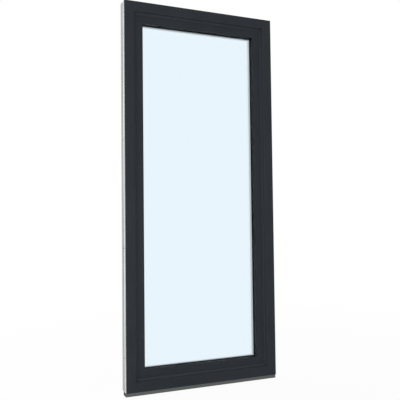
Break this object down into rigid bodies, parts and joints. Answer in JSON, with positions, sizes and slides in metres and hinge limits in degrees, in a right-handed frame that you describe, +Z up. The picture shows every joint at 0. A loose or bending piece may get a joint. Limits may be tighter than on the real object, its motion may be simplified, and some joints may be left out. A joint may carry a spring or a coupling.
{
  "type": "french window",
  "caption": "Full-height glazed french window: a mitred plastic frame on a base profile, with a single leaf that swings into the room.",
  "frame": {"origin": "middle of the base profile's underside, on the line of the floor bed", "axes": "+X to the right as seen from outside, +Y into the room, +Z up"},
  "size_m": [0.9, 0.152, 2.12],
  "materials": {
    "foiled_plastic": "anthracite foil, satin",
    "white_plastic": "smooth white",
    "base_plastic": "mid grey, matt",
    "seal_rubber": "matt black",
    "glass": "clear, faint blue",
    "pale_rubber": "matt light grey",
    "spacer_plastic": "plain black",
    "block_plastic": "plain",
    "coated_metal": "white, satin",
    "hardware_steel": "zinc plated"
  },
  "bodies": {
    "frame": {"base_profile": "base_plastic", "frame_left_jamb": "foiled_plastic", "frame_right_jamb": "foiled_plastic", "frame_head": "foiled_plastic", "frame_sill": "foiled_plastic", "frame_stop_seal": "seal_rubber", "lower_hinge_bracket": "coated_metal", "upper_hinge_bracket": "coated_metal", "lower_hinge_pin": "hardware_steel", "upper_hinge_pin": "hardware_steel", "lower_keeper": "hardware_steel", "middle_keeper": "hardware_steel", "upper_keeper": "hardware_steel"},
    "leaf": {"leaf_left_stile": "foiled_plastic", "leaf_right_stile": "foiled_plastic", "leaf_top_rail": "foiled_plastic", "leaf_bottom_rail": "foiled_plastic", "leaf_flange_seal": "seal_rubber", "glazing_bead_left": "white_plastic", "glazing_bead_right": "white_plastic", "glazing_bead_top": "white_plastic", "glazing_bead_bottom": "white_plastic", "outer_glazing_seal": "seal_rubber", "inner_glazing_seal": "pale_rubber", "outer_pane": "glass", "inner_pane": "glass", "pane_spacer": "spacer_plastic", "setting_blocks": "block_plastic", "lower_hinge_arm": "coated_metal", "upper_hinge_arm": "coated_metal", "lock_faceplate": "hardware_steel", "lock_rod": "hardware_steel", "lower_cam": "hardware_steel", "middle_cam": "hardware_steel", "upper_cam": "hardware_steel", "handle_rose": "coated_metal", "handle_lever": "coated_metal"}
  },
  "joints": [
    {"name": "leaf_swing", "type": "hinge", "parent": "frame", "child": "leaf", "pos_m": [0.437, 0.063, 1.07], "axis": [0, 0, -1], "range_deg": [0, 90]}
  ]
}
